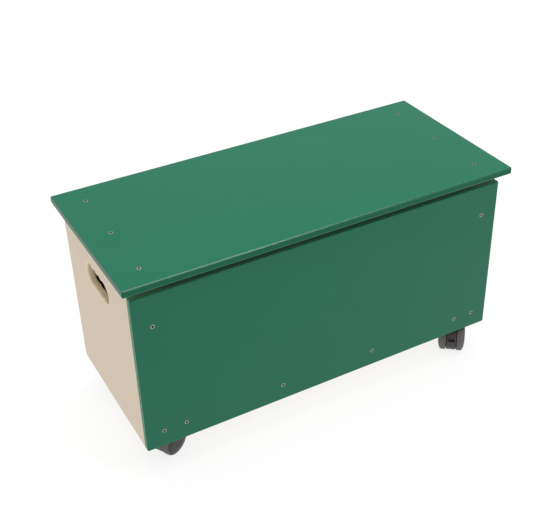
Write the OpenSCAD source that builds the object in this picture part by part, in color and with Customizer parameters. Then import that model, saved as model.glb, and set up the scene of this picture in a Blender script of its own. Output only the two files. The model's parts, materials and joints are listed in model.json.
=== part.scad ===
// Low wooden toy box on four swivelling twin-wheel casters, with a lift-off lid.
// Millimetres. +Z is up, +X runs along the box and +Y points from the front panel to the back.
// The origin is on the floor, under the centre of the box.

/* [Carcass] */
// Length of the box over its side panels
body_w = 900; // [780:10:1100]
// Depth of the box from the front face to the back face
body_d = 382; // [360:2:460]
// Height of the side panels
side_h = 420; // [340:10:520]
// Height of the panels' lower edges above the floor
panel_lift = 80; // [80:1:90]
// Thickness of every board
board_t = 16; // [15:1:19]
// Height of the finger gap between the front panel's top edge and the lid
finger_gap = 23; // [15:1:28]
// Chamfer that eases the outer edges of the boards
edge_ease = 2.5; // [1:0.5:4]
// Radius on the lower back corner of each side panel
side_corner_r = 9; // [4:1:20]
// Height of the bottom panel's underside above the panels' lower edges
bottom_rise = 33.5; // [30:0.5:45]

/* [Lid] */
// Overhang of the lid past the carcass on all four sides
lid_overhang = 18; // [8:1:30]
// Radius of the lid's corners seen from above
lid_corner_r = 3; // [2:1:12]

/* [Battens] */
// Width of the planed battens used for the posts and the lid cleats
batten_w = 50; // [44:1:60]
// Thickness of the planed battens
batten_t = 34; // [28:1:44]
// Width of the strips that double the bottom panel over the casters
caster_batten_w = 100; // [90:5:120]
// Gap between a lid cleat and the panels around it
cleat_play = 1; // [0.5:0.5:3]

/* [Hand hole] */
// Radius of each finger scallop
scallop_r = 24.5; // [20:0.5:28]
// Distance between neighbouring scallops
scallop_pitch = 26; // [22:0.5:30]
// Height of the hand hole's centre below the side panel's top edge
hand_hole_drop = 100; // [70:5:130]
// Distance of the hand hole in front of the side panel's middle
hand_hole_forward = 2; // [0:1:10]
// Chamfer round the hand hole's rim
hand_hole_ease = 5; // [1:0.5:6]

/* [Screws] */
// Distance of the corner screws from the ends of the box
screw_inset = 41.5; // [38:0.5:46]
// Distance between neighbouring screws along the bottom panel's edge
edge_screw_pitch = 237.5; // [200:2.5:240]
// Radius of a connecting screw's head
screw_head_r = 5; // [4:0.5:6]
// Length of a connecting screw
screw_len = 46; // [40:1:60]

/* [Casters] */
// Radius of the caster wheels
wheel_r = 37.5; // [35:0.5:37.5]
// Width of one wheel
wheel_w = 19; // [17:0.5:20]
// Width of a wheel's flat tread, inside its domed outer face
tread_w = 10; // [8:0.5:12]
// Radial extent of the dome on a wheel's outer face
dome_r = 25; // [20:1:28]
// Thickness of the tyre round a wheel
tyre_t = 4.5; // [3:0.5:6]
// Distance from the swivel axis to the wheel axle
trail = 25; // [20:1:28]
// Distance of the swivel axes from the ends of the box
caster_inset_x = 49; // [46:1:70]
// Distance of the swivel axes from the front and back faces
caster_inset_y = 56; // [50:1:80]

/* [Hidden] */
// Radial clearance round every pin, dowel and screw shank
bore_gap = 0.05;
// Extra length that carries a cutter past the face it opens
cut = 1;

// Eases of the back panel, of the hidden boards and of the planed battens
back_ease = 1;
inner_ease = 0.5;
batten_ease = 1.5;

panel_top = panel_lift + side_h;
front_h = side_h - finger_gap;
inner_w = body_w - 2 * board_t;
inner_d = body_d - 2 * board_t;
side_d = body_d - board_t;
lid_w = body_w + 2 * lid_overhang;
lid_d = body_d + 2 * lid_overhang;
bottom_z = panel_lift + bottom_rise;
bottom_top = bottom_z + board_t;
mount_z = bottom_z - board_t;
edge_screw_z = bottom_z + board_t / 2;
post_top_drop = 58;
post_h = side_h - post_top_drop - bottom_rise - board_t;
post_x = inner_w / 2 - batten_w / 2;
post_y = inner_d / 2 - batten_t / 2;
cleat_x = inner_w / 2 - cleat_play - batten_w / 2;
cleat_len = inner_d - 2 * cleat_play;
cleat_z = panel_top - batten_t;
batten_x = inner_w / 2 - caster_batten_w / 2;
hand_z = panel_top - hand_hole_drop;

head_h = 4;
shank_r = 2.5;
socket_across = 5;
socket_depth = 2.8;
top_screw_drop = 100;
corner_screw_x = body_w / 2 - screw_inset;
post_screw_z = panel_top - top_screw_drop;
edge_screw_x = [for (k = [-1.5:1:1.5]) k * edge_screw_pitch];
panel_screws = concat(
    [for (s = [-1, 1]) [s * corner_screw_x, post_screw_z]],
    [for (s = [-1, 1]) [s * corner_screw_x, edge_screw_z]],
    [for (x = edge_screw_x) [x, edge_screw_z]]
);
lid_screw_inset = 42;
lid_screw_x = body_w / 2 - lid_screw_inset;
lid_screw_y = body_d / 2 - screw_inset;

wood_screw_r = 2;
wood_head_r = 4;
wood_head_h = 3;
cross_len = 4.4;
cross_w = 1;
cross_depth = 1.4;
post_screw_len = 58;
post_screw_rise = 50;
post_screw_drop = 70;
post_screw_heights = [bottom_top + post_screw_rise, bottom_top + post_h - post_screw_drop];
batten_screw_len = 24;
batten_screw_margin = 16;
batten_screw_y = [-60, 0, 60];
batten_screw_x = [
    inner_w / 2 - batten_screw_margin,
    inner_w / 2 - caster_batten_w + batten_screw_margin
];

dowel_r = 4;
dowel_len = 34;
dowel_depth = 10;
dowel_y = [-110, -30, 30, 110];

caster_h = mount_z;
plate_size = 60;
plate_t = 3;
plate_corner = 5;
plate_screw_at = 24;
plate_screw_len = 20;
plate_hole_gap = 0.4;
pan_head_h = 2.4;
pan_head_r = 4;
pan_top_r = 3;
boss_r = 17;
boss_h = 4;
stem_r = 5.5;
rivet_r = 4;
stem_foot_z = 52;
axle_r = 4;
axle_end = 28;
hood_w = 24;
hood_gap = 1.5;
collar_h = 5;
neck_foot_z = 44;
neck_z = 70;
neck_top_z = 77;
arch_w = 16;
arch_wall_h = 6;
arch_depth = 7;
arch_rise = 4;
fender_from = 60.5;
fender_to = 130;
wheel_in = hood_w / 2 + hood_gap;
hood_disc_r = wheel_r - 1;
fender_in = wheel_r + 1.3;
fender_out = fender_in + 2.2;
swivel_gap = 0.5;
hood_top = caster_h - plate_t - boss_h - swivel_gap;
hub_r = 9;
wheel_bore_gap = 0.06;
end_gap = 0.4;
rim_lip = 0.9;
rim_t = 4;
web_depth = 6;
rim_r = wheel_r - tyre_t;
rim_angle = acos(1 - tyre_t / dome_r);
fender_half = wheel_in + wheel_w - 4;

// One entry for each caster: name, swivel axis, direction in which its wheels trail
axis_x = body_w / 2 - caster_inset_x;
axis_y = body_d / 2 - caster_inset_y;
CASTERS = [
    ["front_left", -axis_x, -axis_y, 29],
    ["front_right", axis_x, -axis_y, 231],
    ["back_left", -axis_x, axis_y, 25],
    ["back_right", axis_x, axis_y, 150]
];
POSTS = [["front_left", -1, -1], ["front_right", 1, -1], ["back_left", -1, 1], ["back_right", 1, 1]];
CASTER_PARTS = [
    "plate", "plate_screws", "stem", "hood", "axle",
    "left_wheel", "right_wheel", "left_tyre", "right_tyre"
];

GREEN = "#1f6b4e";
MAPLE = "#d8c6a6";
PINE = "#d9b98a";
STEEL = "#b9b6a6";
BLACK = "#2b2b2d";
CHARCOAL = "#3c3c3f";

$fn = 64;

// ---------- shapes that repeat ----------

// Rectangle centred on the origin with its four corners cut at 45 degrees
module cut_rect(w, d, c) {
    x = w / 2;
    y = d / 2;
    polygon([
        [-x + c, -y], [x - c, -y], [x, -y + c], [x, y - c],
        [x - c, y], [-x + c, y], [-x, y - c], [-x, -y + c]
    ]);
}

// Board standing on z = 0, centred in plan, with every edge eased
module board(w, d, h, c = edge_ease) {
    intersection() {
        linear_extrude(h) cut_rect(w, d, c);
        translate([0, d / 2, h / 2]) rotate([90, 0, 0]) linear_extrude(d) cut_rect(w, h, c);
        translate([-w / 2, 0, h / 2]) rotate([90, 0, 90]) linear_extrude(w) cut_rect(d, h, c);
    }
}

// Connecting screw along -Z from its head's face at z = 0, with a hexagon socket
module connecting_screw(len = screw_len) {
    difference() {
        union() {
            translate([0, 0, -head_h]) cylinder(h = head_h, r1 = shank_r, r2 = screw_head_r);
            translate([0, 0, -len]) cylinder(h = len - head_h, r = shank_r);
        }
        translate([0, 0, -socket_depth])
            cylinder(h = socket_depth + cut, r = socket_across / sqrt(3), $fn = 6);
    }
}

// The hole that a connecting screw sits in
module connecting_hole(len = screw_len) {
    g = bore_gap;
    translate([0, 0, -head_h - g]) cylinder(h = head_h + g, r1 = shank_r + g, r2 = screw_head_r + 2 * g);
    translate([0, 0, -len - g]) cylinder(h = len + g, r = shank_r + g);
    translate([0, 0, -g]) cylinder(h = cut, r = screw_head_r + 2 * g);
}

// Countersunk wood screw along +Z from its head's face at z = 0
module wood_screw(len) {
    difference() {
        union() {
            cylinder(h = wood_head_h, r1 = wood_head_r, r2 = wood_screw_r);
            cylinder(h = len, r = wood_screw_r);
        }
        translate([0, 0, -cut]) cross_recess();
    }
}

// The cross that takes a driver's tip, upwards from z = 0
module cross_recess() {
    for (a = [0, 90]) rotate(a) translate([-cross_len / 2, -cross_w / 2, 0])
        cube([cross_len, cross_w, cut + cross_depth]);
}

// The hole that a wood screw sits in
module wood_hole(len) {
    g = bore_gap;
    translate([0, 0, -cut]) cylinder(h = cut + g, r = wood_head_r + g);
    cylinder(h = wood_head_h + g, r1 = wood_head_r + g, r2 = wood_screw_r + g);
    cylinder(h = len + g, r = wood_screw_r + g);
}

// Children at every connecting screw of the front panel, heads facing -Y
module at_front_screws() {
    for (p = panel_screws) translate([p[0], -body_d / 2, p[1]]) rotate([90, 0, 0]) children();
}

// Children at every connecting screw of the back panel, heads facing +Y
module at_back_screws() {
    for (p = panel_screws) translate([p[0], body_d / 2, p[1]]) rotate([-90, 0, 0]) children();
}

// Children at every connecting screw of the lid, heads facing up
module at_lid_screws() {
    for (s = [-1, 1]) for (k = [-1, 0, 1])
        translate([s * lid_screw_x, k * lid_screw_y, panel_top + board_t]) children();
}

// Children at every screw that runs from a post into its side panel
module at_post_screws() {
    for (p = POSTS) for (z = post_screw_heights)
        translate([p[1] * (inner_w / 2 - batten_w), p[2] * post_y, z]) rotate([0, p[1] * 90, 0]) children();
}

// Children at every screw that runs up through a caster batten
module at_batten_screws() {
    for (s = [-1, 1]) for (x = batten_screw_x) for (y = batten_screw_y)
        translate([s * x, y, mount_z]) children();
}

// Children at every dowel between the side panels and the bottom panel, along X
module at_dowels() {
    for (s = [-1, 1]) for (y = dowel_y)
        translate([s * (inner_w / 2 + dowel_depth), y, edge_screw_z]) rotate([0, -s * 90, 0]) children();
}

// Children in the place and at the heading of caster c
module at_caster(c) {
    translate([c[1], c[2], 0]) rotate(c[3]) children();
}

// Children at every screw of a caster plate, heads facing down
module at_plate_screws() {
    for (x = [-1, 1]) for (y = [-1, 1])
        translate([x * plate_screw_at, y * plate_screw_at, caster_h - plate_t]) children();
}

// Pilot holes of all the plate screws, for the battens and the bottom panel.
// The plates stand square to the box, whatever the heading of their wheels.
module plate_pilots() {
    for (c = CASTERS) translate([c[1], c[2], 0]) at_plate_screws()
        cylinder(h = plate_screw_len + bore_gap, r = wood_screw_r + bore_gap);
}

// ---------- carcass ----------

module front_panel() {
    color(GREEN) difference() {
        translate([0, -body_d / 2 + board_t / 2, panel_lift]) board(body_w, board_t, front_h);
        at_front_screws() connecting_hole();
    }
}

module back_panel() {
    color(GREEN) difference() {
        translate([0, body_d / 2 - board_t / 2, panel_lift]) board(inner_w, board_t, side_h, back_ease);
        at_back_screws() connecting_hole();
    }
}

// Four overlapping scallops with an eased rim on both faces, along X
module hand_hole() {
    for (k = [-1.5:1:1.5]) translate([0, k * scallop_pitch, 0]) rotate([0, 90, 0]) {
        translate([0, 0, -board_t]) cylinder(h = 2 * board_t, r = scallop_r);
        for (s = [0, 1]) mirror([0, 0, s]) translate([0, 0, board_t / 2 - hand_hole_ease])
            cylinder(h = hand_hole_ease + cut, r1 = scallop_r, r2 = scallop_r + hand_hole_ease + cut);
    }
}

// Side panel seen along X, with its lower back corner rounded
module side_outline() {
    r = side_corner_r;
    difference() {
        square([side_d, side_h]);
        translate([side_d - r, -cut]) square([r + cut, r + cut]);
    }
    translate([side_d - r, r]) circle(r);
}

module side_panel(side) {
    y0 = -body_d / 2 + board_t;
    mid_x = side * (body_w / 2 - board_t / 2);
    difference() {
        translate([mid_x - board_t / 2, y0, panel_lift])
            rotate([90, 0, 90]) linear_extrude(board_t) side_outline();
        translate([mid_x, y0 + side_d / 2 - hand_hole_forward, hand_z]) hand_hole();
        at_dowels() cylinder(h = dowel_len, r = dowel_r + bore_gap);
        at_post_screws() wood_hole(post_screw_len);
    }
}

module left_side_panel() { color(MAPLE) side_panel(-1); }

module right_side_panel() { color(MAPLE) side_panel(1); }

module bottom_panel() {
    color(MAPLE) difference() {
        translate([0, 0, bottom_z]) board(inner_w, inner_d, board_t, inner_ease);
        at_front_screws() connecting_hole();
        at_back_screws() connecting_hole();
        at_batten_screws() wood_hole(batten_screw_len);
        at_dowels() cylinder(h = dowel_len, r = dowel_r + bore_gap);
        plate_pilots();
    }
}

module post(p) {
    color(PINE) difference() {
        translate([p[1] * post_x, p[2] * post_y, bottom_top]) board(batten_w, batten_t, post_h, batten_ease);
        at_front_screws() connecting_hole();
        at_back_screws() connecting_hole();
        at_post_screws() wood_hole(post_screw_len);
    }
}

module caster_batten(side) {
    color(MAPLE) difference() {
        translate([side * batten_x, 0, mount_z]) board(caster_batten_w, inner_d, board_t, inner_ease);
        at_batten_screws() wood_hole(batten_screw_len);
        plate_pilots();
    }
}

module left_caster_batten() { caster_batten(-1); }

module right_caster_batten() { caster_batten(1); }

// ---------- lid ----------

module lid_panel() {
    color(GREEN) difference() {
        intersection() {
            translate([0, 0, panel_top]) board(lid_w, lid_d, board_t);
            translate([0, 0, panel_top - cut]) linear_extrude(board_t + 2 * cut)
                cut_rect(lid_w, lid_d, lid_corner_r);
        }
        at_lid_screws() connecting_hole();
    }
}

module lid_cleat(side) {
    color(PINE) difference() {
        translate([side * cleat_x, 0, cleat_z]) board(batten_w, cleat_len, batten_t, batten_ease);
        at_lid_screws() connecting_hole();
    }
}

module left_lid_cleat() { lid_cleat(-1); }

module right_lid_cleat() { lid_cleat(1); }

// ---------- fasteners ----------

module lid_screws() { color(STEEL) at_lid_screws() connecting_screw(); }

module front_panel_screws() { color(STEEL) at_front_screws() connecting_screw(); }

module back_panel_screws() { color(STEEL) at_back_screws() connecting_screw(); }

module post_screws() { color(STEEL) at_post_screws() wood_screw(post_screw_len); }

module batten_screws() { color(STEEL) at_batten_screws() wood_screw(batten_screw_len); }

module side_dowels() {
    color(PINE) at_dowels() translate([0, 0, bore_gap]) cylinder(h = dowel_len - 2 * bore_gap, r = dowel_r);
}

// ---------- caster, with its swivel axis on Z and its wheels trailing to +X ----------

// Square plate with a round boss for the swivel bearing, riveted round the stem
module caster_plate() {
    color(STEEL) difference() {
        union() {
            translate([0, 0, caster_h - plate_t]) linear_extrude(plate_t)
                cut_rect(plate_size, plate_size, plate_corner);
            translate([0, 0, caster_h - plate_t - boss_h]) cylinder(h = boss_h + plate_t / 2, r = boss_r);
        }
        cylinder(h = caster_h + cut, r = rivet_r + bore_gap);
        at_plate_screws() translate([0, 0, -cut])
            cylinder(h = plate_t + 2 * cut, r = wood_screw_r + plate_hole_gap);
    }
}

// Pan-head screws that hold the plate
module caster_plate_screws() {
    color(STEEL) at_plate_screws() difference() {
        union() {
            translate([0, 0, -pan_head_h]) cylinder(h = pan_head_h, r1 = pan_top_r, r2 = pan_head_r);
            translate([0, 0, -cut]) cylinder(h = plate_screw_len + cut, r = wood_screw_r);
        }
        translate([0, 0, -pan_head_h - cut]) cross_recess();
    }
}

// Steel stem that the hood swivels on
module caster_stem() {
    shoulder_z = caster_h - plate_t - boss_h;
    color(STEEL) {
        translate([0, 0, stem_foot_z]) cylinder(h = shoulder_z - stem_foot_z, r = stem_r);
        translate([0, 0, shoulder_z - cut]) cylinder(h = caster_h - shoulder_z + cut - bore_gap, r = rivet_r);
    }
}

// The hood's web seen along the axle: a disc between the wheels, rising to the stem
module hood_outline() {
    translate([trail, wheel_r]) circle(hood_disc_r);
    half = hood_w / 2;
    low = [trail - half, wheel_r - half];
    rear = [trail + hood_disc_r / 2, wheel_r + hood_disc_r / 2];
    polygon([[-half, neck_foot_z], low, rear, [half, neck_top_z], [-half, neck_top_z]]);
}

// Part ring over the tops of the wheels, from the trailing quarter to the leading side
module fender_outline() {
    reach = 2 * fender_out;
    translate([trail, wheel_r]) intersection() {
        difference() {
            circle(fender_out);
            circle(fender_in);
        }
        polygon([
            [0, 0], reach * [cos(fender_from), sin(fender_from)],
            [-reach, reach], reach * [cos(fender_to), sin(fender_to)]
        ]);
    }
}

// Arched recess in the hood's trailing face
module hood_recess() {
    translate([trail + hood_disc_r - arch_depth, 0, wheel_r + arch_rise])
        rotate([90, 0, 90]) linear_extrude(arch_depth + 2 * cut) {
            translate([-arch_w / 2, 0]) square([arch_w, arch_wall_h]);
            translate([0, arch_wall_h]) circle(arch_w / 2);
        }
}

module caster_hood() {
    color(BLACK) difference() {
        union() {
            translate([0, hood_w / 2, 0]) rotate([90, 0, 0]) linear_extrude(hood_w) hood_outline();
            translate([0, fender_half, 0]) rotate([90, 0, 0])
                linear_extrude(2 * fender_half) fender_outline();
            translate([0, 0, neck_z]) cylinder(h = hood_top - neck_z, r = hood_w / 2);
            translate([0, 0, hood_top - collar_h]) cylinder(h = collar_h, r = boss_r);
        }
        translate([0, 0, stem_foot_z - swivel_gap]) cylinder(h = hood_top, r = stem_r + bore_gap);
        translate([trail, hood_w, wheel_r]) rotate([90, 0, 0])
            cylinder(h = 2 * hood_w, r = axle_r + bore_gap);
        hood_recess();
    }
}

module caster_axle() {
    color(STEEL) translate([trail, axle_end, wheel_r]) rotate([90, 0, 0])
        cylinder(h = 2 * axle_end, r = axle_r);
}

// Children turned so that Z runs outwards along the axle on the given side of the hood
module at_wheel(side) {
    translate([trail, side * wheel_in, wheel_r]) rotate([-side * 90, 0, 0]) children();
}

// Point [radius, distance outwards] on the domed outer face, a degrees round from the tread
function dome(a) = [
    wheel_r - dome_r + dome_r * cos(a),
    tread_w + (wheel_w - tread_w) * sin(a)
];

// Moulded wheel: a rim, a web and a hub with a blind bore for the axle
module caster_wheel(side) {
    bore_r = axle_r + wheel_bore_gap;
    bore_end = axle_end - wheel_in + end_gap;
    hub_end = -hood_gap + end_gap;
    web = wheel_w - web_depth;
    color(CHARCOAL) at_wheel(side) rotate_extrude() polygon(concat(
        [[bore_r, hub_end], [hub_r, hub_end], [hub_r, web]],
        [[rim_r - rim_t, web], [rim_r - rim_t + 1, -rim_lip], [rim_r, -rim_lip]],
        [for (k = [0:6]) dome(rim_angle + (90 - rim_angle) * k / 6)],
        [[0, wheel_w], [0, bore_end], [bore_r, bore_end]]
    ));
}

// Tyre with a rounded tread, moulded round the rim
module caster_tyre(side) {
    color(BLACK) at_wheel(side) rotate_extrude() polygon(concat(
        [[rim_r, 0], [wheel_r - 1, 0], [wheel_r, 1]],
        [for (k = [0:6]) dome(rim_angle * k / 6)]
    ));
}

// The part of a caster called name
module caster_part(name) {
    if (name == "plate_screws") caster_plate_screws();
    if (name == "plate") caster_plate();
    if (name == "stem") caster_stem();
    if (name == "hood") caster_hood();
    if (name == "axle") caster_axle();
    if (name == "left_wheel") caster_wheel(1);
    if (name == "right_wheel") caster_wheel(-1);
    if (name == "left_tyre") caster_tyre(1);
    if (name == "right_tyre") caster_tyre(-1);
}

front_panel();
back_panel();
left_side_panel();
right_side_panel();
bottom_panel();
for (p = POSTS) post(p);
left_caster_batten();
right_caster_batten();
lid_panel();
left_lid_cleat();
right_lid_cleat();
lid_screws();
front_panel_screws();
back_panel_screws();
post_screws();
batten_screws();
side_dowels();
for (c = CASTERS) for (p = CASTER_PARTS)
    union() {
        square_to_box = p == "plate" || p == "plate_screws" || p == "stem";
        at_caster(square_to_box ? [c[0], c[1], c[2], 0] : c) caster_part(p);
    }
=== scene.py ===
"""Looks of a low wooden toy box on four twin-wheel casters: green front, back and lid, maple side panels.

Numbers that size a part are in millimetres, and MM turns them into metres. Other lengths are in metres.
"""

import json
import math

import bmesh
import bpy
from mathutils import Matrix, Vector
from mathutils.geometry import tessellate_polygon


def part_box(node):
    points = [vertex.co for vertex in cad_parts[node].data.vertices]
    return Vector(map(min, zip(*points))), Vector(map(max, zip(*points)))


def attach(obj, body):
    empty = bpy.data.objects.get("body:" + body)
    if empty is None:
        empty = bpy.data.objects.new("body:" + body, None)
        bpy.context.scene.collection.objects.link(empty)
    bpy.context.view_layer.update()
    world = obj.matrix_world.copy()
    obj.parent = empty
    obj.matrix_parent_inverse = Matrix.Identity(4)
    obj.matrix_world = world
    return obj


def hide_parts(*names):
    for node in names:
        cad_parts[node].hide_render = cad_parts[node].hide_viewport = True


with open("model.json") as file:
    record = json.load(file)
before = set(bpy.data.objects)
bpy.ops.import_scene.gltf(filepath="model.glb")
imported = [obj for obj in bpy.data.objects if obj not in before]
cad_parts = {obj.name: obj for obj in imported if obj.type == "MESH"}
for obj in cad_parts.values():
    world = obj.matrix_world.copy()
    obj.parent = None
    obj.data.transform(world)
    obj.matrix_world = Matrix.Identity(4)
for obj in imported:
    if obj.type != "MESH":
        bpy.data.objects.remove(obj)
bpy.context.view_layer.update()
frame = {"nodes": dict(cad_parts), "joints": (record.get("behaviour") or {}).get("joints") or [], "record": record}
joints = {joint["name"]: joint for joint in frame["joints"]}

MM = 0.001
CORNERS = ("front_left", "front_right", "back_left", "back_right")

# Roundings of the boards' arrises, in millimetres: outer edges, back panel, hidden edges, planed battens,
# and the hand hole's rim outside and inside
BOARD_EASE = 2.6
BACK_EASE = 1.0
INNER_EASE = 0.8
BATTEN_EASE = 2.0
RIM_EASE = 5.0
INNER_RIM_EASE = 2.5
# How much the corners of a board's outline are rounder than its arrises
CORNER_MORE = 0.4
SIDE_LOWER_BACK_R = 9.0
# Segments of a rounded corner
ARC_STEPS = 6
# Depth of a screw's hole through a board and through a post
BOARD_BORE = 17
POST_BORE = 20

# The hand hole: four overlapping finger scallops
SCALLOPS = 4
SCALLOP_R = 24.5
SCALLOP_PITCH = 26
SCALLOP_STEPS = 14


# ---------- node helpers ----------

def linear(hex_colour):
    """An sRGB hex colour as linear RGBA."""
    channels = [int(hex_colour[i:i + 2], 16) / 255 for i in (1, 3, 5)]
    return [c / 12.92 if c <= 0.04045 else ((c + 0.055) / 1.055) ** 2.4 for c in channels] + [1.0]


def add(tree, kind, sockets=None, **settings):
    """Adds a node. A socket's value is a number, a colour, or another node's output socket to link."""
    node = tree.nodes.new(kind)
    for name, value in settings.items():
        setattr(node, name, value)
    for name, value in (sockets or {}).items():
        socket = node.inputs[name]
        if isinstance(value, bpy.types.NodeSocket):
            tree.links.new(value, socket)
        else:
            socket.default_value = value
    return node


def new_material(name, **surface):
    """A material with a Principled surface. Constant values are set on the shader's own sockets."""
    material = bpy.data.materials.new(name)
    material.use_nodes = True
    tree = material.node_tree
    tree.nodes.clear()
    shader = add(tree, "ShaderNodeBsdfPrincipled", surface)
    add(tree, "ShaderNodeOutputMaterial", {"Surface": shader.outputs["BSDF"]})
    return material, tree, shader


def object_point(tree, scale=(1.0, 1.0, 1.0)):
    """Object coordinates, stretched, as the place on a piece that a pattern reads."""
    place = add(tree, "ShaderNodeTexCoord")
    mapping = add(tree, "ShaderNodeMapping", {"Vector": place.outputs["Object"], "Scale": scale})
    return mapping.outputs["Vector"]


def per_metre(size_mm):
    """The scale at which one feature of a texture is size_mm across."""
    return 1.0 / (size_mm * MM)


def noise(tree, point, size_mm, detail=2.0, distortion=0.0):
    """The value of a noise whose largest features are size_mm across."""
    node = add(tree, "ShaderNodeTexNoise", {
        "Vector": point, "Scale": per_metre(size_mm), "Detail": detail, "Distortion": distortion})
    return node.outputs["Fac"]


def blend(tree, factor, first, second):
    """A colour between two, as factor goes from 0 to 1. A colour is sRGB hex or another node's output."""
    colours = [linear(colour) if isinstance(colour, str) else colour for colour in (first, second)]
    node = add(tree, "ShaderNodeMix", {"Factor": factor, "A": colours[0], "B": colours[1]}, data_type="RGBA")
    return node.outputs["Result"]


def bump(tree, shader, height, depth_mm):
    """Raises the surface by depth_mm where height is 1."""
    node = add(tree, "ShaderNodeBump", {"Height": height, "Distance": depth_mm * MM, "Strength": 1.0})
    tree.links.new(node.outputs["Normal"], shader.inputs["Normal"])


def spread(tree, value, low, high):
    """Maps a 0 to 1 texture value to the range low to high."""
    node = add(tree, "ShaderNodeMapRange", {"Value": value, "To Min": low, "To Max": high})
    return node.outputs["Result"]


# ---------- materials ----------

def melamine_green():
    """Green melamine-faced board: pressed paper under clear resin, with a fine pearl grain that softens
    reflections, and a slow unevenness of tone that only shows over a hand's width."""
    material, tree, shader = new_material("melamine_green", **{"Specular IOR Level": 0.24})
    point = object_point(tree)
    clouds = noise(tree, point, 160, detail=3.0)
    pearl = noise(tree, point, 1.6)
    tone = blend(tree, clouds, "#0b6249", "#0e684d")
    speckle = blend(tree, spread(tree, pearl, 0.0, 0.08), tone, "#1f7a5c")
    tree.links.new(speckle, shader.inputs["Base Color"])
    tree.links.new(spread(tree, clouds, 0.22, 0.30), shader.inputs["Roughness"])
    bump(tree, shader, pearl, 0.02)
    return material


def edge_banding_green(name, gloss, rough):
    """Green plastic band glued round a board's edge: a shade deeper than the faces, and glossier where a
    trimmer and a buffing wheel rounded its arrises, with their faint ripples."""
    material, tree, shader = new_material(name, **{"Specular IOR Level": gloss})
    point = object_point(tree)
    shade = noise(tree, point, 90)
    ripple = noise(tree, point, 4, detail=1.0)
    tree.links.new(blend(tree, shade, "#08593f", "#0b5f45"), shader.inputs["Base Color"])
    tree.links.new(spread(tree, shade, rough, rough + 0.08), shader.inputs["Roughness"])
    bump(tree, shader, ripple, 0.01)
    return material


def sealed_edge_green():
    """Sawn board edge sealed with thin green paint: flat and paler, where the fibres drank the colour."""
    material, tree, shader = new_material("sealed_edge_green", **{"Specular IOR Level": 0.1})
    fibre = noise(tree, object_point(tree), 2.0, detail=4.0)
    tree.links.new(blend(tree, fibre, "#588871", "#68997f"), shader.inputs["Base Color"])
    tree.links.new(spread(tree, fibre, 0.55, 0.70), shader.inputs["Roughness"])
    bump(tree, shader, fibre, 0.03)
    return material


def melamine_maple():
    """Maple-print melamine-faced board: a pale, even print with faint long streaks and a satin resin skin."""
    material, tree, shader = new_material("melamine_maple", **{"Specular IOR Level": 0.25})
    point = object_point(tree)
    streak = noise(tree, object_point(tree, scale=(1.0, 1.0, 0.045)), 3.5, detail=4.0, distortion=0.3)
    cloud = noise(tree, point, 70)
    pearl = noise(tree, point, 1.4)
    tone = blend(tree, cloud, "#d9c9b0", "#dccbb8")
    grain = blend(tree, spread(tree, streak, 0.0, 0.22), tone, "#c9b48f")
    tree.links.new(grain, shader.inputs["Base Color"])
    tree.links.new(spread(tree, pearl, 0.40, 0.5), shader.inputs["Roughness"])
    bump(tree, shader, pearl, 0.015)
    return material


def lacquered_edge():
    """Routed fibreboard edge under clear lacquer: yellower than the faces, with a slight felty grain."""
    material, tree, shader = new_material("lacquered_edge", **{"Specular IOR Level": 0.4})
    fibre = noise(tree, object_point(tree, scale=(3.0, 1.0, 1.0)), 2.2, detail=5.0)
    tree.links.new(blend(tree, fibre, "#e6d3ac", "#efe0c0"), shader.inputs["Base Color"])
    tree.links.new(spread(tree, fibre, 0.38, 0.55), shader.inputs["Roughness"])
    bump(tree, shader, fibre, 0.03)
    return material


def planed_wood(name, along):
    """Planed or turned wood under thin lacquer: growth rings drawn out along the piece into long flames."""
    material, tree, shader = new_material(name, **{"Specular IOR Level": 0.4})
    point = object_point(tree, scale=[0.06 if axis == along else 1.0 for axis in "XYZ"])
    sway = noise(tree, point, 40)
    rings = add(tree, "ShaderNodeTexWave", {
        "Vector": point, "Scale": per_metre(32), "Distortion": 6.0, "Detail": 2.0, "Detail Scale": 1.4},
        wave_type="RINGS", rings_direction=along, wave_profile="SAW")
    pores = noise(tree, point, 0.9, detail=3.0)
    early = blend(tree, sway, "#e2c797", "#d8b681")
    late = blend(tree, spread(tree, rings.outputs["Fac"], 0.0, 0.45), early, "#b98348")
    tree.links.new(late, shader.inputs["Base Color"])
    tree.links.new(spread(tree, pores, 0.42, 0.6), shader.inputs["Roughness"])
    bump(tree, shader, pores, 0.04)
    return material


def plated_steel(name, light, dark, rough):
    """Plated steel: a thin bright coat whose tone drifts slightly, with hairlines from barrel plating."""
    material, tree, shader = new_material(name, **{"Metallic": 1.0})
    drift = noise(tree, object_point(tree), 6, detail=3.0)
    hair = noise(tree, object_point(tree, scale=(1.0, 6.0, 1.0)), 0.6)
    tree.links.new(blend(tree, drift, light, dark), shader.inputs["Base Color"])
    tree.links.new(spread(tree, hair, rough - 0.06, rough + 0.08), shader.inputs["Roughness"])
    bump(tree, shader, hair, 0.01)
    return material


def moulded_nylon(name, dark, light, rough, grit_mm):
    """Moulded nylon: near black, with the spark-eroded texture of its mould, worn shinier in places."""
    material, tree, shader = new_material(name, **{"Specular IOR Level": 0.45})
    point = object_point(tree)
    grit = noise(tree, point, grit_mm, detail=3.0)
    wear = noise(tree, point, 18)
    tree.links.new(blend(tree, wear, dark, light), shader.inputs["Base Color"])
    tree.links.new(spread(tree, wear, rough, rough + 0.14), shader.inputs["Roughness"])
    bump(tree, shader, grit, 0.05)
    return material


def moulded_rubber():
    """Moulded tyre rubber: matt grey, dusted paler where it rolls."""
    material, tree, shader = new_material("tyre_rubber", **{"Specular IOR Level": 0.35})
    point = object_point(tree)
    dust = noise(tree, point, 9, detail=5.0)
    grain = noise(tree, point, 0.8)
    tree.links.new(blend(tree, dust, "#565252", "#6a6564"), shader.inputs["Base Color"])
    tree.links.new(spread(tree, dust, 0.55, 0.75), shader.inputs["Roughness"])
    bump(tree, shader, grain, 0.04)
    return material


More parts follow.
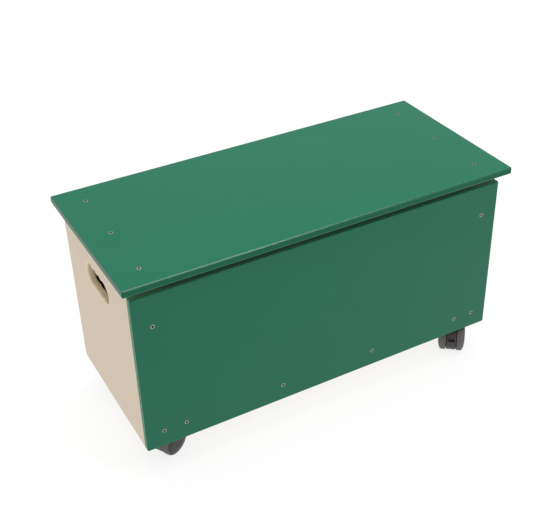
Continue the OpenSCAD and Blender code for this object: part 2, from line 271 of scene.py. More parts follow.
GREEN = melamine_green()
BAND = edge_banding_green("edge_banding_green", 0.14, 0.30)
BUFFED = edge_banding_green("buffed_banding_green", 0.7, 0.20)
SEALED = sealed_edge_green()
MAPLE = melamine_maple()
EDGE = lacquered_edge()
PINE_UPRIGHT = planed_wood("planed_pine_upright", "Z")
PINE_CROSS = planed_wood("planed_pine_cross", "Y")
BEECH = planed_wood("turned_beech", "X")
NICKEL = plated_steel("nickel_plated_steel", "#a3a994", "#8a907c", 0.40)
ZINC = plated_steel("zinc_plated_steel", "#cfd2d4", "#b4b8bc", 0.34)
# Painted shade: a dark steel colour in the screws' drive recesses stands in for the shade that falls inside them.
SOCKET_SHADE = plated_steel("socket_painted_shade", "#4a4438", "#2e2a22", 0.6)
HOOD = moulded_nylon("moulded_nylon_hood", "#302d2e", "#3d393a", 0.42, 0.9)
WHEEL = moulded_nylon("moulded_nylon_wheel", "#232122", "#2e2b2b", 0.38, 0.7)
TYRE = moulded_rubber()


# ---------- mesh helpers ----------

def new_object(name, mesh):
    """An object at the origin that holds mesh."""
    piece = bpy.data.objects.new(name, mesh)
    bpy.context.scene.collection.objects.link(piece)
    return piece


def coat(piece, material):
    """Gives a piece one material in place of any other."""
    piece.data.materials.clear()
    piece.data.materials.append(material)


def to_mesh(name, bm):
    """A bmesh as smooth-shaded mesh data, with its doubles merged."""
    bmesh.ops.remove_doubles(bm, verts=bm.verts, dist=0.00001)
    mesh = bpy.data.meshes.new(name)
    for face in bm.faces:
        face.smooth = True
    bm.to_mesh(mesh)
    bm.free()
    return mesh


def evaluated(piece):
    """Replaces a piece's mesh by what its modifiers make of it, and removes them."""
    bpy.context.view_layer.update()
    graph = bpy.context.evaluated_depsgraph_get()
    mesh = bpy.data.meshes.new_from_object(
        piece.evaluated_get(graph), preserve_all_data_layers=True, depsgraph=graph)
    piece.modifiers.clear()
    piece.data = mesh
    return piece


def cut_and_join(piece, cutters=(), additions=()):
    """Adds closed solids to a piece and takes others away, then removes them."""
    for operation, tools in (("UNION", additions), ("DIFFERENCE", cutters)):
        for tool in tools:
            modifier = piece.modifiers.new(operation.lower(), "BOOLEAN")
            modifier.operation = operation
            modifier.solver = "EXACT"
            modifier.material_mode = "TRANSFER" if tool.data.materials else "INDEX"
            modifier.object = tool
    evaluated(piece)
    for tool in (*cutters, *additions):
        bpy.data.objects.remove(tool)
    return piece


def crisp(piece, angle=32):
    """Shades flats flat and rounds round: sharp creases are marked and the rest is weighted by face area."""
    for polygon in piece.data.polygons:
        polygon.use_smooth = True
    piece.data.set_sharp_from_angle(angle=math.radians(angle))
    modifier = piece.modifiers.new("weighted", "WEIGHTED_NORMAL")
    modifier.keep_sharp = True
    modifier.weight = 100
    return evaluated(piece)


def inset(points, distance):
    """A closed outline moved to its left by distance, which is inwards if it runs anticlockwise."""
    moved = []
    for before, here, after in zip(points[-1:] + points[:-1], points, points[1:] + points[:1]):
        first = (here - before).normalized()
        second = (after - here).normalized()
        normals = Vector((-first.y - second.y, first.x + second.x))
        moved.append(here + normals * (distance / (1 + first.dot(second))))
    return moved


def arc(centre, radius, start, end, steps=ARC_STEPS):
    """Points along an arc, from start to end in degrees, ends included."""
    angles = [math.radians(start + (end - start) * k / steps) for k in range(steps + 1)]
    return [Vector((centre[0] + radius * math.cos(a), centre[1] + radius * math.sin(a))) for a in angles]


def rounded_rectangle(low, high, radii):
    """An anticlockwise outline; radii are of the corners low-low, high-low, high-high and low-high."""
    signs = ((1, 1), (-1, 1), (-1, -1), (1, -1))
    corners = ((low[0], low[1]), (high[0], low[1]), (high[0], high[1]), (low[0], high[1]))
    points = []
    for k, ((x, y), (sx, sy), radius) in enumerate(zip(corners, signs, radii)):
        points += arc((x + sx * radius, y + sy * radius), radius, 180 + 90 * k, 270 + 90 * k)
    return points


def eased_profile(thickness, eases, steps):
    """Depths and heights over a plate's edge, from upper face to lower face, with both arrises rounded."""
    turns = [math.radians(90 * k / steps) for k in range(steps + 1)]
    upper, lower = ([(ease * (1 - math.sin(a)), thickness / 2 - ease * (1 - math.cos(a))) for a in turns]
                    for ease in eases)
    return upper + [(depth, -height) for depth, height in reversed(lower)]


def plate(name, outline, thickness, eases, place, hole=None, hole_eases=(0.0, 0.0), slots=(0, 0), steps=5):
    """A flat plate with rounded arrises, made in its outline's plane and carried to the box by place.

    hole gives a hole's clockwise outline, widened by a distance. A pair of eases rounds the upper and the
    lower face. slots are the material slots of the edge's flat part and of its arrises."""
    rims = [(lambda depth: inset(outline, depth), eases)]
    if hole:
        rims.append((hole, hole_eases))
    bm = bmesh.new()
    rings = []
    for rim, rim_eases in rims:
        profile = eased_profile(thickness, rim_eases, steps)
        rings.append([
            [bm.verts.new(place @ Vector((*point, height))) for point in rim(depth)]
            for depth, height in profile])
    for loops in rings:
        count = len(loops[0])
        for level, (upper, lower) in enumerate(zip(loops, loops[1:])):
            for k in range(count):
                face = bm.faces.new((upper[k], lower[k], lower[(k + 1) % count], upper[(k + 1) % count]))
                face.material_index = slots[0] if level == steps else slots[1]
    to_plane = place.inverted()
    for level in (0, -1):
        loops = [loops[level] for loops in rings]
        verts = [vert for loop in loops for vert in loop]
        outlines = [[(to_plane @ vert.co).to_2d().to_3d() for vert in loop] for loop in loops]
        for triangle in tessellate_polygon(outlines):
            bm.faces.new([verts[k] for k in triangle])
    bmesh.ops.recalc_face_normals(bm, faces=bm.faces)
    return new_object(name, to_mesh(name, bm))


def lathe(name, profile, place, segments=72):
    """A closed profile of (radius, height) points in millimetres, turned round Z, then carried by place."""
    bm = bmesh.new()
    rings = []
    for radius, height in [(radius_mm * MM, height_mm * MM) for radius_mm, height_mm in profile]:
        if radius < 1e-7:
            rings.append([bm.verts.new(place @ Vector((0, 0, height)))])
            continue
        turns = [2 * math.pi * k / segments for k in range(segments)]
        around = [Vector((radius * math.cos(a), radius * math.sin(a), height)) for a in turns]
        rings.append([bm.verts.new(place @ point) for point in around])
    for first, second in zip(rings, rings[1:] + rings[:1]):
        if len(first) == 1 and len(second) == 1:
            continue
        for k in range(segments):
            after = (k + 1) % segments
            corners = [first[k % len(first)], first[after % len(first)], second[after % len(second)],
                       second[k % len(second)]]
            bm.faces.new(list(dict.fromkeys(corners)))
    bmesh.ops.recalc_face_normals(bm, faces=bm.faces)
    return new_object(name, to_mesh(name, bm))


# Solids of one node whose vertices lie further apart than this are separate
APART = 12


def solids(node, across):
    """The lowest and highest corners of a CAD node's separate solids, told apart by their places across."""
    groups = []
    for vertex in frame["nodes"][node].data.vertices:
        spot = vertex.co
        key = Vector([spot[k] for k in across])
        for group in groups:
            if (group["key"] - key).length < APART * MM:
                break
        else:
            group = {"key": key, "low": spot.copy(), "high": spot.copy()}
            groups.append(group)
        group["low"] = Vector(map(min, group["low"], spot))
        group["high"] = Vector(map(max, group["high"], spot))
    return [(group["low"], group["high"]) for group in groups]


def stand_for(piece, node, body):
    """Attaches a piece to the body it moves with, and hides the CAD node that it stands for."""
    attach(piece, body)
    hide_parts(node)
    return piece


# ---------- screws ----------

def heads(node, facing):
    """Centre of each screw's head face in a CAD node, for screws whose heads face along one signed axis."""
    axis = max(range(3), key=lambda k: abs(facing[k]))
    across = [k for k in range(3) if k != axis]
    centres = []
    for low, high in solids(node, across):
        centre = (low + high) / 2
        centre[axis] = high[axis] if facing[axis] > 0 else low[axis]
        centres.append((centre, Vector(facing)))
    return centres


def turned_to(facing):
    """The turn that carries +Z to facing."""
    return Vector((0, 0, 1)).rotation_difference(facing).to_matrix().to_4x4()


def countersinks(places, head_mm, shank_mm, head_depth_mm, depth_mm):
    """One cutter for every screw: a cone under each head and a bore for each shank."""
    play = 0.08
    head, shank = head_mm + play, shank_mm + play
    profile = [(0, 1), (head, 1), (head, 0), (shank, -head_depth_mm), (shank, -depth_mm), (0, -depth_mm)]
    cutters = []
    for centre, facing in places:
        place = Matrix.Translation(centre) @ turned_to(facing)
        cutters.append(lathe("cutter", profile, place, segments=32))
    return cutters


def screw_blank(name, head_mm, shank_mm, head_depth_mm, length_mm, recess):
    """A screw with its head face at the origin and its shank along -Z, whose recess has attribute recess."""
    rim, rim_ease, head = 0.35, 0.12, head_mm - 0.1
    tip_r, tip_h = shank_mm * 0.55, 3
    profile = [
        (0, -length_mm), (tip_r, -length_mm), (shank_mm, tip_h - length_mm), (shank_mm, -head_depth_mm),
        (head, -rim), (head, -rim_ease), (head_mm - rim, 0), (0, 0)]
    blank = lathe(name, profile, Matrix.Identity(4), segments=40)
    blank.data.materials.append(NICKEL)
    tools = []
    for outline, depth_mm in recess:
        bm = bmesh.new()
        rings = [[bm.verts.new((x * MM, y * MM, z * MM)) for x, y in outline] for z in (-depth_mm, 1)]
        bm.faces.new(rings[0][::-1])
        bm.faces.new(rings[1])
        for k in range(len(outline)):
            after = (k + 1) % len(outline)
            bm.faces.new((rings[0][k], rings[0][after], rings[1][after], rings[1][k]))
        tool = new_object("recess_tool", to_mesh("recess_tool", bm))
        # The recess's faces take the dark painted-shade colour.
        tool.data.materials.append(SOCKET_SHADE)
        tools.append(tool)
    cut_and_join(blank, cutters=tools)
    crisp(blank)
    in_recess = blank.data.attributes.new("recess", "BOOLEAN", "FACE")
    slots = [slot.name if slot else "" for slot in blank.data.materials]
    for polygon in blank.data.polygons:
        in_recess.data[polygon.index].value = slots[polygon.material_index] == SOCKET_SHADE.name
    return blank


def regular_polygon(across_mm, sides):
    """Corners of a regular polygon that is across_mm wide between its flats."""
    radius = across_mm / 2 / math.cos(math.pi / sides)
    return [(radius * math.cos(2 * math.pi * k / sides), radius * math.sin(2 * math.pi * k / sides))
            for k in range(sides)]


def cross_arm(length_mm, width_mm, turned):
    """One arm of a cross recess."""
    x, y = (width_mm / 2, length_mm / 2) if turned else (length_mm / 2, width_mm / 2)
    return [(-x, -y), (x, -y), (x, y), (-x, y)]


def screw_tree():
    """Geometry Nodes: a screw on every point, facing the point's own way and spun by a fixed seed."""
    tree = bpy.data.node_groups.new("screws_on_points", "GeometryNodeTree")
    face = tree.interface.new_socket
    face("Points", in_out="INPUT", socket_type="NodeSocketGeometry")
    face("Screw", in_out="INPUT", socket_type="NodeSocketObject")
    face("Head finish", in_out="INPUT", socket_type="NodeSocketMaterial")
    face("Recess painted shade", in_out="INPUT", socket_type="NodeSocketMaterial")
    face("Spin seed", in_out="INPUT", socket_type="NodeSocketInt")
    face("Screws", in_out="OUTPUT", socket_type="NodeSocketGeometry")
    entry = add(tree, "NodeGroupInput")
    facing = add(tree, "GeometryNodeInputNamedAttribute", {"Name": "facing"}, data_type="FLOAT_VECTOR")
    turn = add(tree, "FunctionNodeAlignRotationToVector", {"Vector": facing.outputs["Attribute"]}, axis="Z")
    spin = add(tree, "FunctionNodeRandomValue", {"Max": 2 * math.pi, "Seed": entry.outputs["Spin seed"]})
    about = add(tree, "FunctionNodeAxisAngleToRotation", {
        "Axis": (0.0, 0.0, 1.0), "Angle": spin.outputs[1]})
    both = add(tree, "FunctionNodeRotateRotation", {
        "Rotation": turn.outputs["Rotation"], "Rotate By": about.outputs["Rotation"]}, rotation_space="LOCAL")
    screw = add(tree, "GeometryNodeObjectInfo", {"Object": entry.outputs["Screw"]})
    placed = add(tree, "GeometryNodeInstanceOnPoints", {
        "Points": entry.outputs["Points"], "Instance": screw.outputs["Geometry"],
        "Rotation": both.outputs["Rotation"]})
    real = add(tree, "GeometryNodeRealizeInstances", {"Geometry": placed.outputs["Instances"]})
    # Faces in a screw's recess get the dark painted shade in place of the head's finish.
    recess = add(tree, "GeometryNodeInputNamedAttribute", {"Name": "recess"}, data_type="BOOLEAN")
    finish = add(tree, "GeometryNodeSetMaterial", {
        "Geometry": real.outputs["Geometry"], "Material": entry.outputs["Head finish"]})
    socket = add(tree, "GeometryNodeSetMaterial", {
        "Geometry": finish.outputs["Geometry"], "Selection": recess.outputs["Attribute"],
        "Material": entry.outputs["Recess painted shade"]})
    add(tree, "NodeGroupOutput", {"Screws": socket.outputs["Geometry"]})
    return tree


def screws(name, places, blank, finish, seed, tree):
    """All the screws of one CAD node as one plain mesh."""
    mesh = bpy.data.meshes.new(name)
    mesh.from_pydata([centre for centre, facing in places], [], [])
    facing = mesh.attributes.new("facing", "FLOAT_VECTOR", "POINT")
    for k, (centre, direction) in enumerate(places):
        facing.data[k].vector = direction
    piece = new_object(name, mesh)
    modifier = piece.modifiers.new("screws", "NODES")
    modifier.node_group = tree
    values = {"Screw": blank, "Head finish": finish, "Recess painted shade": SOCKET_SHADE, "Spin seed": seed}
    for item in tree.interface.items_tree:
        if item.in_out == "INPUT" and item.name in values:
            modifier[item.identifier] = values[item.name]
    return evaluated(piece)


CONNECTING = {"head_mm": 5.0, "shank_mm": 2.5, "head_depth_mm": 4.0}
WOOD = {"head_mm": 4.0, "shank_mm": 2.0, "head_depth_mm": 3.0}
hex_blank = screw_blank("hex_blank", **CONNECTING, length_mm=45.9, recess=[(regular_polygon(5, 6), 2.8)])
cross = [(cross_arm(4.6, 1.0, turned), 1.5) for turned in (False, True)]
long_blank = screw_blank("long_blank", **WOOD, length_mm=57.9, recess=cross)
short_blank = screw_blank("short_blank", **WOOD, length_mm=23.9, recess=cross)

FRONT_HEADS = heads("front_panel_screws", (0, -1, 0))
BACK_HEADS = heads("back_panel_screws", (0, 1, 0))
LID_HEADS = heads("lid_screws", (0, 0, 1))
BATTEN_HEADS = heads("batten_screws", (0, 0, -1))


def post_heads():
    """The screws in the posts lie along X and face the middle of the box, two of them on each line."""
    places = []
    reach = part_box("front_right_post")[0].x
    for low, high in solids("post_screws", (1, 2)):
        for side in (-1, 1):
            centre = Vector((side * reach, (low.y + high.y) / 2, (low.z + high.z) / 2))
            places.append((centre, Vector((-side, 0, 0))))
    return places


POST_HEADS = post_heads()
TREE = screw_tree()
for name, node, body, slot, blank, finish, places, seed in (
    ("front_screws", "front_panel_screws", "root", "nickel_screw", hex_blank, NICKEL, FRONT_HEADS, 3),
    ("back_screws", "back_panel_screws", "root", "nickel_screw", hex_blank, NICKEL, BACK_HEADS, 5),
    ("lid_top_screws", "lid_screws", "lid", "nickel_screw", hex_blank, NICKEL, LID_HEADS, 7),
    ("post_wood_screws", "post_screws", "root", "zinc_screw", long_blank, ZINC, POST_HEADS, 9),
    ("batten_wood_screws", "batten_screws", "root", "zinc_screw", short_blank, ZINC, BATTEN_HEADS, 11),
):
    stand_for(screws(name, places, blank, finish, seed, TREE), node, body)
for blank in (hex_blank, long_blank, short_blank):
    bpy.data.objects.remove(blank)


# ---------- boards ----------

# Turns a plate's own X, Y and thickness into the object's axes
LYING = Matrix.Identity(4)
FACING_Y = Matrix(((1, 0, 0, 0), (0, 0, -1, 0), (0, 1, 0, 0), (0, 0, 0, 1)))
FACING_X = Matrix(((0, 0, 1, 0), (1, 0, 0, 0), (0, 1, 0, 0), (0, 0, 0, 1)))


def board(node, turn, eases_mm, materials, hole=None, hole_eases_mm=(0, 0), radii_mm=None):
    """A board in the place of a CAD node, its thickness turned by turn, with its materials in slot order.

    The corners of its outline are a little rounder than its arrises, unless radii_mm gives all four."""
    low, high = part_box(node)
    size = [abs(component) for component in turn.inverted() @ (high - low)]
    radii = [radius * MM for radius in (radii_mm or [max(eases_mm) + CORNER_MORE] * 4)]
    outline = rounded_rectangle((-size[0] / 2, -size[1] / 2), (size[0] / 2, size[1] / 2), radii)
    last = len(materials) - 1
    piece = plate(
        node + "_board", outline, size[2], [ease * MM for ease in eases_mm],
        Matrix.Translation((low + high) / 2) @ turn, hole=hole,
        hole_eases=[ease * MM for ease in hole_eases_mm], slots=(min(1, last), last))
    for material in materials:
        piece.data.materials.append(material)
    return piece


def drilled(piece, places, sizes, depth_mm):
    """Countersinks a board for the screws whose heads lie in it."""
    cut_and_join(piece, cutters=countersinks(places, **sizes, depth_mm=depth_mm))
    return crisp(piece)


def near(places, node, reach=2 * MM):
    """The screw heads that lie in or on a CAD node's box."""
    low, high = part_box(node)
    return [(centre, facing) for centre, facing in places
            if all(low[k] - reach < centre[k] < high[k] + reach for k in range(3))]


front = board("front_panel", FACING_Y, (BOARD_EASE, INNER_EASE), [GREEN, SEALED, GREEN])
stand_for(drilled(front, FRONT_HEADS, CONNECTING, BOARD_BORE), "front_panel", "root")
back = board("back_panel", FACING_Y, (BACK_EASE, BACK_EASE), [GREEN, SEALED, GREEN])
stand_for(drilled(back, BACK_HEADS, CONNECTING, BOARD_BORE), "back_panel", "root")

lid = board("lid_panel", LYING, (BOARD_EASE, BOARD_EASE), [GREEN, BAND, BUFFED])
stand_for(drilled(lid, LID_HEADS, CONNECTING, BOARD_BORE), "lid_panel", "lid")


def scallops(centre):
    """The hand hole's clockwise outline about centre, as a function of how far it is widened."""
    pitch = SCALLOP_PITCH * MM
    last = SCALLOPS - 1
    lobes = [(centre.x + (k - last / 2) * pitch, centre.y) for k in range(SCALLOPS)]

    def widened(distance):
        radius = SCALLOP_R * MM + distance
        cusp = math.degrees(math.acos(pitch / 2 / radius))
        above = [(lobe, 180 if k == 0 else 180 - cusp, 0 if k == last else cusp)
                 for k, lobe in enumerate(lobes)]
        below = [(lobe, -end, -start) for lobe, start, end in reversed(above)]
        points = []
        for lobe, start, end in above + below:
            points += arc(lobe, radius, start, end, steps=SCALLOP_STEPS)[:-1]
        return points

    return widened


for side in ("left", "right"):
    node = f"{side}_side_panel"
    low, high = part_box(node)
    opening = next(o for o in frame["record"]["physics"]["openings"] if o["name"] == f"{side}_hand_hole")
    hole_centre = (Vector(opening["box_m"][0]) + Vector(opening["box_m"][1])) / 2 - (low + high) / 2
    hole = scallops(hole_centre.yz)
    rim = (INNER_RIM_EASE, RIM_EASE) if low.x < 0 else (RIM_EASE, INNER_RIM_EASE)
    corner_r = BOARD_EASE + CORNER_MORE
    piece = board(node, FACING_X, (BOARD_EASE, BOARD_EASE), [MAPLE, EDGE], hole=hole, hole_eases_mm=rim,
                  radii_mm=[corner_r, SIDE_LOWER_BACK_R, corner_r, corner_r])
    stand_for(crisp(piece), node, "root")

bottom = board("bottom_panel", LYING, (INNER_EASE, INNER_EASE), [MAPLE])
stand_for(crisp(bottom), "bottom_panel", "root")
for side in ("left", "right"):
    node = f"{side}_caster_batten"
    piece = board(node, LYING, (INNER_EASE, INNER_EASE), [MAPLE])
    stand_for(drilled(piece, near(BATTEN_HEADS, node), WOOD, BOARD_BORE), node, "root")
    node = f"{side}_lid_cleat"
    piece = board(node, LYING, (BATTEN_EASE, BATTEN_EASE), [PINE_CROSS])
    stand_for(crisp(piece), node, "lid")
for corner in CORNERS:
    node = f"{corner}_post"
    piece = board(node, LYING, (BATTEN_EASE, BATTEN_EASE), [PINE_UPRIGHT])
    stand_for(drilled(piece, near(POST_HEADS, node), WOOD, POST_BORE), node, "root")

coat(frame["nodes"]["side_dowels"], BEECH)


# ---------- casters ----------

# A caster is made with its swivel axis on Z, the floor at z = 0 and its wheels trailing to +X
WHEEL_R = 37.5
TRAIL = 25.0
# Where a wheel begins, out from the middle of its axle, and the widths of the wheel and of its flat tread
WHEEL_IN = 13.5
WHEEL_W = 19.0
TREAD_W = 10.0
DOME_R = 25.0
RIM_R = 33.0
# How far round the dome the tyre ends and the disc's face begins, in degrees
TYRE_END = 33.5
FACE_START = 37
# Halves of the widths of the hood's web and fender, the web's radius, and the arcs of both in degrees
HOOD_HALF = 12.0
FENDER_HALF = 28.4
WEB_R = WHEEL_R - 1
WEB_ARC = (-150, 52)
FENDER_ARC = (61, 130)
STEM_BORE_R = 5.55
AXLE_BORE_R = 4.05
# The arched recess in the hood's trailing side
ARCH_R = 8
ARCH_STRAIGHT = 6
ARCH_DEPTH = 7
ARCH_LIFT = 4
# The mounting plate, its boss and its four screw holes
PLATE_TOP = 97.5
PLATE_T = 3.0
PLATE_HALF = 30
PLATE_CORNER_R = 6
BOSS_H = 4.0
BOSS_R = 17
HOLE_R = 2.4
PLATE_HOLES = [(24 * x, 24 * y) for x in (-1, 1) for y in (-1, 1)]
PAN_HEAD_H = 2.4


def shift(x_mm, y_mm, z_mm):
    """A move given in millimetres."""
    return Matrix.Translation((x_mm * MM, y_mm * MM, z_mm * MM))


def in_metres(outline_mm):
    """An outline given in millimetres, in metres."""
    return [Vector(point) * MM for point in outline_mm]


def caster_place(corner):
    """Carries a caster from where it is made to its swivel axis, at the heading of its wheels."""
    swivel = Vector(joints[f"{corner}_swivel"]["pos_m"])
    wheel = Vector(joints[f"{corner}_left_wheel_spin"]["pos_m"])
    heading = math.atan2(wheel.y - swivel.y, wheel.x - swivel.x)
    return Matrix.Translation((swivel.x, swivel.y, 0)) @ Matrix.Rotation(heading, 4, "Z")


def wheel_place(side):
    """Carries a lathe's Z axis to the axle, pointing outwards on one side of the hood."""
    return shift(TRAIL, side * WHEEL_IN, WHEEL_R) @ Matrix.Rotation(-side * math.pi / 2, 4, "X")


def dome(degrees):
    """A point of the wheel's domed outer face, that many degrees round from the tread."""
    turn = math.radians(degrees)
    return (WHEEL_R - DOME_R + DOME_R * math.cos(turn), TREAD_W + (WHEEL_W - TREAD_W) * math.sin(turn))


def tyre(name, side):
    """A tyre with two fine moulding grooves round its tread."""
    half_width, depth = 0.5, 0.35
    grooves = []
    for middle in (3.2, 6.6):
        grooves += [(WHEEL_R, middle - half_width), (WHEEL_R - depth, middle), (WHEEL_R, middle + half_width)]
    outer = [dome(TYRE_END * k / 10) for k in range(11)]
    profile = [(RIM_R, 0.2), (RIM_R + 0.6, 0), (WHEEL_R - 1.1, 0), (WHEEL_R - 0.3, 0.3), (WHEEL_R, 1.1)]
    profile += grooves + outer + [(RIM_R, 14.0)]
    return lathe(name, profile, wheel_place(side), segments=96)


def wheel(name, side):
    """A moulded wheel: domed outer face with a ring groove round its axle cap, deep hub, and a lipped rim."""
    bore_r, hub_r, well_r, lip_r, rim_r, cap_r = 4.06, 9, 29, 30, RIM_R - 0.05, 11.5
    well_h, cap_h = 13, 14.9
    face = [dome(FACE_START + (90 - FACE_START) * k / 12) for k in range(13)]
    profile = [
        (bore_r, -1.1), (hub_r - 0.5, -1.1), (hub_r, -0.6), (hub_r, well_h), (well_r, well_h), (lip_r, -0.7),
        (lip_r + 0.3, -0.9), (RIM_R - 0.3, -0.9), (rim_r, -0.6), (rim_r, 14.2), *face,
        (cap_r + 0.5, WHEEL_W - 0.5), (cap_r, WHEEL_W), (0, WHEEL_W), (0, cap_h), (bore_r, cap_h)]
    return lathe(name, profile, wheel_place(side), segments=96)


def neck():
    """The hood's neck, which ends in a collar just under the mounting plate's boss."""
    foot, top = 70, PLATE_TOP - PLATE_T - BOSS_H - 0.5
    return lathe("neck", [
        (0, foot), (HOOD_HALF, foot), (HOOD_HALF, top - 7), (HOOD_HALF + 1, top - 5.6),
        (BOSS_R - 1, top - 4.6), (BOSS_R, top - 3.8), (BOSS_R, top - 1), (BOSS_R - 1, top), (0, top)],
        Matrix.Identity(4))


def fender():
    """The hood's curved cover over both wheels."""
    middle, outer, inner = (TRAIL, WHEEL_R), WHEEL_R + 3.5, WHEEL_R + 1.3
    over = arc(middle, outer, *FENDER_ARC, steps=18) + arc(middle, inner, *FENDER_ARC[::-1], steps=18)
    return plate("fender", in_metres(over), 2 * FENDER_HALF * MM, (1.0 * MM, 1.0 * MM), FACING_Y)


def hood_bores():
    """Cutters for the stem's bore, the axle's bore and the arched recess."""
    stem = lathe("bore", [(0, 51.5), (STEM_BORE_R, 51.5), (STEM_BORE_R, 95), (0, 95)], Matrix.Identity(4),
                 segments=48)
    axle_line = shift(TRAIL, 0, WHEEL_R) @ Matrix.Rotation(math.pi / 2, 4, "X")
    axle = lathe("axle_hole", [(0, -20), (AXLE_BORE_R, -20), (AXLE_BORE_R, 20), (0, 20)], axle_line,
                 segments=48)
    length = 20
    arch = [Vector((-ARCH_R, 0)), Vector((ARCH_R, 0))] + arc((0, ARCH_STRAIGHT), ARCH_R, 0, 180, steps=16)
    arch_place = shift(TRAIL + WEB_R - ARCH_DEPTH + length / 2, 0, WHEEL_R + ARCH_LIFT) @ FACING_X
    recess = plate("recess", in_metres(arch), length * MM, (0.5 * MM, 0.5 * MM), arch_place)
    return [stem, axle, recess]


def hood(name):
    """The hood: a web between the wheels, a fender over them, and a neck and collar round the stem."""
    shoulder, waist = 77, 44
    web = arc((TRAIL, WHEEL_R), WEB_R, *WEB_ARC, steps=40)
    web += [Vector((HOOD_HALF, shoulder)), Vector((-HOOD_HALF, shoulder)), Vector((-HOOD_HALF, waist))]
    piece = plate(name, in_metres(web), 2 * HOOD_HALF * MM, (1.6 * MM, 1.6 * MM), FACING_Y)
    return cut_and_join(piece, cutters=hood_bores(), additions=[fender(), neck()])


def mounting_plate(name):
    """Pressed steel plate with rounded corners, four screw holes and a boss round the swivel bearing."""
    half = PLATE_HALF * MM
    outline = rounded_rectangle((-half, -half), (half, half), [PLATE_CORNER_R * MM] * 4)
    piece = plate(name, outline, PLATE_T * MM, (0.7 * MM, 0.7 * MM), shift(0, 0, PLATE_TOP - PLATE_T / 2))
    low, high = PLATE_TOP - PLATE_T - BOSS_H, PLATE_TOP - 1
    boss = lathe("boss", [
        (0, low), (BOSS_R - 1.6, low), (BOSS_R - 0.4, low + 1), (BOSS_R, low + 2.4), (BOSS_R, high),
        (0, high)], Matrix.Identity(4))
    holes = [lathe("hole", [(0, 90), (HOLE_R, 90), (HOLE_R, 100), (0, 100)], shift(x, y, 0), segments=32)
             for x, y in PLATE_HOLES]
    return cut_and_join(piece, cutters=holes, additions=[boss])


def pan_blank():
    """A pan-head screw with its head face at the origin and its shank along -Z."""
    profile = [
        (0, -22), (1.2, -22), (2, -20), (2, -PAN_HEAD_H), (4, -PAN_HEAD_H), (4, -1.5), (3.4, -0.5), (2.4, 0),
        (0, 0)]
    blank = lathe("pan_blank", profile, Matrix.Identity(4), segments=32)
    blank.data.materials.append(ZINC)
    crisp(blank)
    blank.data.attributes.new("recess", "BOOLEAN", "FACE")
    return blank


def plate_heads(swivel):
    """The pan heads under a mounting plate whose swivel axis stands at swivel."""
    face = (PLATE_TOP - PLATE_T - PAN_HEAD_H) * MM
    return [(Vector((swivel.x + x * MM, swivel.y + y * MM, face)), Vector((0, 0, -1)))
            for x, y in PLATE_HOLES]


pan = pan_blank()
for corner_index, corner in enumerate(CORNERS):
    place = caster_place(corner)
    square = Matrix.Translation(place.to_translation())
    left, right = f"{corner}_left_wheel", f"{corner}_right_wheel"
    parts = (
        (mounting_plate(f"{corner}_mounting_plate"), "plate", "root", square, ZINC, "caster_steel"),
        (hood(f"{corner}_hood"), "hood", f"{corner}_caster", place, HOOD, "hood_nylon"),
        (wheel(f"{corner}_left_disc", 1), "left_wheel", left, place, WHEEL, "wheel_nylon"),
        (wheel(f"{corner}_right_disc", -1), "right_wheel", right, place, WHEEL, "wheel_nylon"),
        (tyre(f"{corner}_left_tread", 1), "left_tyre", left, place, TYRE, "tyre_rubber"),
        (tyre(f"{corner}_right_tread", -1), "right_tyre", right, place, TYRE, "tyre_rubber"),
    )
    for piece, part, body, where, material, slot in parts:
        piece.data.transform(where)
        coat(piece, material)
        stand_for(crisp(piece), f"{corner}_caster_{part}", body)
    pan_places = plate_heads(place.to_translation())
    plate_screws = screws(f"{corner}_plate_pan_screws", pan_places, pan, ZINC, 20 + corner_index, TREE)
    stand_for(plate_screws, f"{corner}_caster_plate_screws", "root")
    for part in ("stem", "axle"):
        coat(frame["nodes"][f"{corner}_caster_{part}"], ZINC)
bpy.data.objects.remove(pan)


# ---------- studio ----------

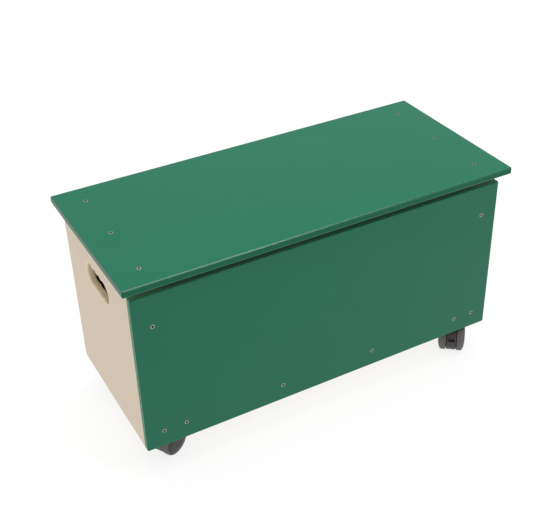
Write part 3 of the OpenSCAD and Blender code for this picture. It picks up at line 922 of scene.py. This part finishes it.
def studio_floor():
    """A wide matt white sweep."""
    bm = bmesh.new()
    bmesh.ops.create_grid(bm, x_segments=1, y_segments=1, size=12)
    floor = new_object("studio_floor", to_mesh("studio_floor", bm))
    material, tree, shader = new_material("white_backdrop", **{"Roughness": 0.9, "Specular IOR Level": 0.1})
    shader.inputs["Base Color"].default_value = linear("#808080")
    shader.inputs["Emission Color"].default_value = linear("#ffffff")
    shader.inputs["Emission Strength"].default_value = 0.81
    floor.data.materials.append(material)


def softbox(name, place, target, size, power):
    """A large square area light aimed at a point."""
    light = bpy.data.lights.new(name, "AREA")
    light.shape = "SQUARE"
    light.size = size
    light.energy = power
    lamp = bpy.data.objects.new(name, light)
    lamp.location = place
    lamp.rotation_euler = (Vector(target) - Vector(place)).to_track_quat("-Z", "Y").to_euler()
    bpy.context.scene.collection.objects.link(lamp)


def studio_light():
    """Even white surroundings, a large softbox overhead, a small key in front and a fill on the left."""
    world = bpy.data.worlds.new("studio")
    world.use_nodes = True
    world.node_tree.nodes.clear()
    surround = add(world.node_tree, "ShaderNodeBackground", {"Color": linear("#ffffff"), "Strength": 0.62})
    add(world.node_tree, "ShaderNodeOutputWorld", {"Surface": surround.outputs["Background"]})
    bpy.context.scene.world = world
    softbox("overhead", place=(0.2, 0.3, 3.2), target=(0, 0, 0.3), size=2.6, power=68)
    softbox("front_key", place=(0.75, -1.75, 2.35), target=(0, 0, 0.4), size=0.3, power=11)
    softbox("left_fill", place=(-2.8, -0.6, 1.6), target=(0, 0, 0.3), size=2.0, power=3)


def camera():
    """The camera: in front and to the left, looking down."""
    place = (-0.9308, -1.6887, 1.6030)
    turn, down, roll = math.radians(28.42), math.radians(33.66), math.radians(-1.41)
    forward = Vector((math.sin(turn) * math.cos(down), math.cos(turn) * math.cos(down), -math.sin(down)))
    level = Vector((math.cos(turn), -math.sin(turn), 0))
    upright = level.cross(forward)
    right = level * math.cos(roll) + upright * math.sin(roll)
    up = right.cross(forward)
    view = Matrix((right, up, -forward)).transposed().to_4x4()
    lens = bpy.data.cameras.new("camera")
    lens.sensor_width = 36
    lens.lens = 64.4
    eye = bpy.data.objects.new("camera", lens)
    eye.matrix_world = Matrix.Translation(place) @ view
    bpy.context.scene.collection.objects.link(eye)
    bpy.context.scene.camera = eye


studio_floor()
studio_light()
camera()
bpy.context.scene.view_settings.view_transform = "Standard"
